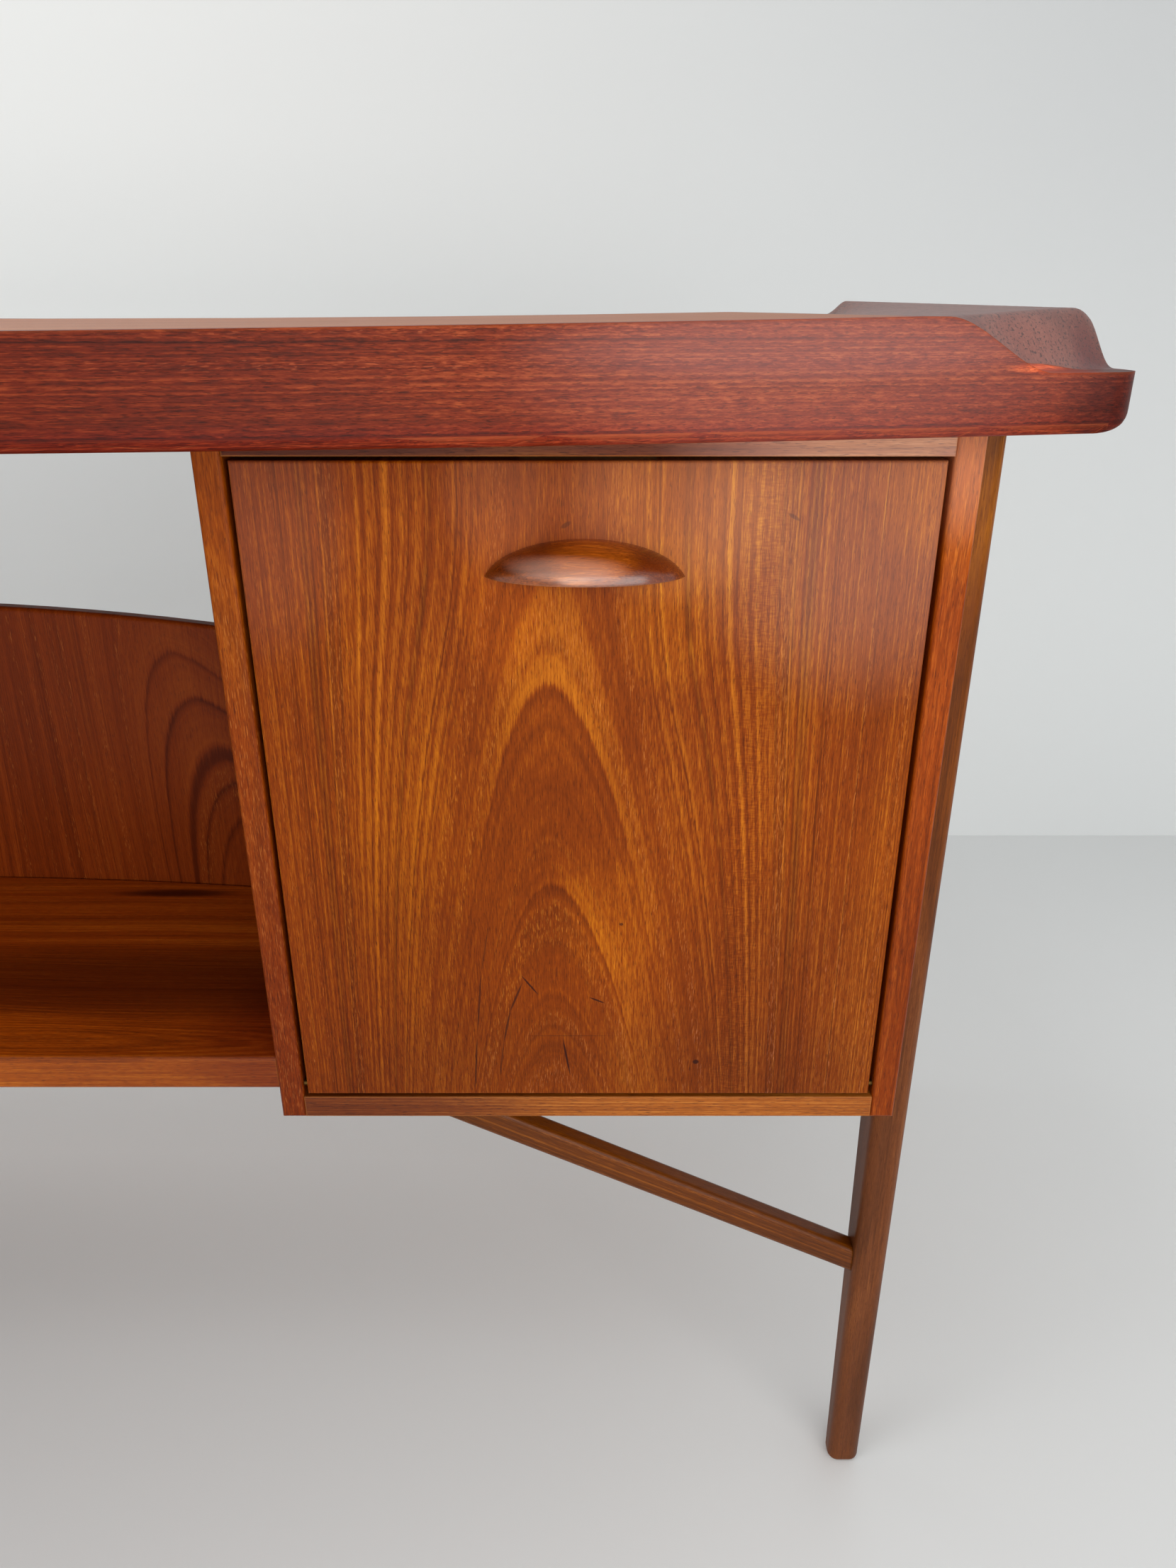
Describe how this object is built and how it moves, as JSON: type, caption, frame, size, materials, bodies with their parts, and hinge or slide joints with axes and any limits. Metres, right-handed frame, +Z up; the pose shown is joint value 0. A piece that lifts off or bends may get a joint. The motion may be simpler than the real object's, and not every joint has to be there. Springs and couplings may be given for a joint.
{
  "type": "executive desk",
  "caption": "Bow-fronted teak executive desk with raised end lips, drop flaps and a bookshelf on the visitor side, drawers on the user side, and slim braced legs.",
  "frame": {"origin": "on the floor, under the middle of the desk's bounding box", "axes": "+X along the length, to the right as the visitor sees it; -Y faces the visitor, +Y faces the user; +Z up"},
  "size_m": [1.384, 0.672, 0.7491],
  "materials": {
    "teak_top": "oiled satin",
    "teak_edge": "oiled satin",
    "teak_lip": "oiled satin",
    "teak_cabinet": "oiled satin",
    "teak_rail": "oiled satin",
    "teak_flap": "oiled satin",
    "teak_front": "oiled satin",
    "teak_pull": "oiled satin",
    "teak_leg": "oiled satin",
    "teak_shelf": "oiled satin",
    "teak_back": "oiled satin",
    "oak_inside": "plain satin",
    "brass": "satin",
    "steel": "satin"
  },
  "bodies": {
    "desk": {"top_panel": "teak_top", "visitor_edge_band": "teak_edge", "user_edge_band": "teak_edge", "right_end_lip": "teak_lip", "right_outer_side": "teak_cabinet", "right_inner_side": "teak_cabinet", "right_cabinet_top": "teak_rail", "right_cabinet_floor": "teak_rail", "right_cabinet_divider": "teak_cabinet", "right_flap_stop": "oak_inside", "right_visitor_leg": "teak_leg", "right_visitor_brace": "teak_leg", "right_user_leg": "teak_leg", "right_user_brace": "teak_leg", "left_end_lip": "teak_lip", "left_outer_side": "teak_cabinet", "left_inner_side": "teak_cabinet", "left_cabinet_top": "teak_rail", "left_cabinet_floor": "teak_rail", "left_cabinet_divider": "teak_cabinet", "left_flap_stop": "oak_inside", "left_visitor_leg": "teak_leg", "left_visitor_brace": "teak_leg", "left_user_leg": "teak_leg", "left_user_brace": "teak_leg", "shelf_board": "teak_shelf", "shelf_back": "teak_back", "leg_screws": "steel", "flap_hinge_pins": "brass", "right_lower_drawer_board": "oak_inside", "right_upper_drawer_board": "oak_inside", "left_drawer_board": "oak_inside"},
    "right_flap_body": {"right_flap": "teak_flap", "right_flap_pull": "teak_pull"},
    "left_flap_body": {"left_flap": "teak_flap", "left_flap_pull": "teak_pull"},
    "right_lower_drawer": {"right_lower_drawer_front": "teak_front", "right_lower_drawer_box": "oak_inside", "right_lower_drawer_bottom": "oak_inside", "right_lower_drawer_pull": "teak_pull"},
    "right_middle_drawer": {"right_middle_drawer_front": "teak_front", "right_middle_drawer_box": "oak_inside", "right_middle_drawer_bottom": "oak_inside", "right_middle_drawer_pull": "teak_pull"},
    "right_upper_drawer": {"right_upper_drawer_front": "teak_front", "right_upper_drawer_box": "oak_inside", "right_upper_drawer_bottom": "oak_inside", "right_upper_drawer_pull": "teak_pull"},
    "left_file_drawer": {"left_file_drawer_front": "teak_front", "left_file_drawer_box": "oak_inside", "left_file_drawer_bottom": "oak_inside", "left_file_drawer_pull": "teak_pull"},
    "left_upper_drawer": {"left_upper_drawer_front": "teak_front", "left_upper_drawer_box": "oak_inside", "left_upper_drawer_bottom": "oak_inside", "left_upper_drawer_pull": "teak_pull"}
  },
  "joints": [
    {"name": "right_flap_hinge", "type": "hinge", "parent": "desk", "child": "right_flap_body", "pos_m": [0.48, -0.2113, 0.3535], "axis": [1, 0, 0], "range_deg": [0, 90]},
    {"name": "left_flap_hinge", "type": "hinge", "parent": "desk", "child": "left_flap_body", "pos_m": [-0.48, -0.2113, 0.3535], "axis": [1, 0, 0], "range_deg": [0, 90]},
    {"name": "right_lower_drawer_slide", "type": "slide", "parent": "desk", "child": "right_lower_drawer", "axis": [0, 1, 0], "range_m": [0, 0.2]},
    {"name": "right_middle_drawer_slide", "type": "slide", "parent": "desk", "child": "right_middle_drawer", "axis": [0, 1, 0], "range_m": [0, 0.2]},
    {"name": "right_upper_drawer_slide", "type": "slide", "parent": "desk", "child": "right_upper_drawer", "axis": [0, 1, 0], "range_m": [0, 0.2]},
    {"name": "left_file_drawer_slide", "type": "slide", "parent": "desk", "child": "left_file_drawer", "axis": [0, 1, 0], "range_m": [0, 0.2]},
    {"name": "left_upper_drawer_slide", "type": "slide", "parent": "desk", "child": "left_upper_drawer", "axis": [0, 1, 0], "range_m": [0, 0.2]}
  ]
}
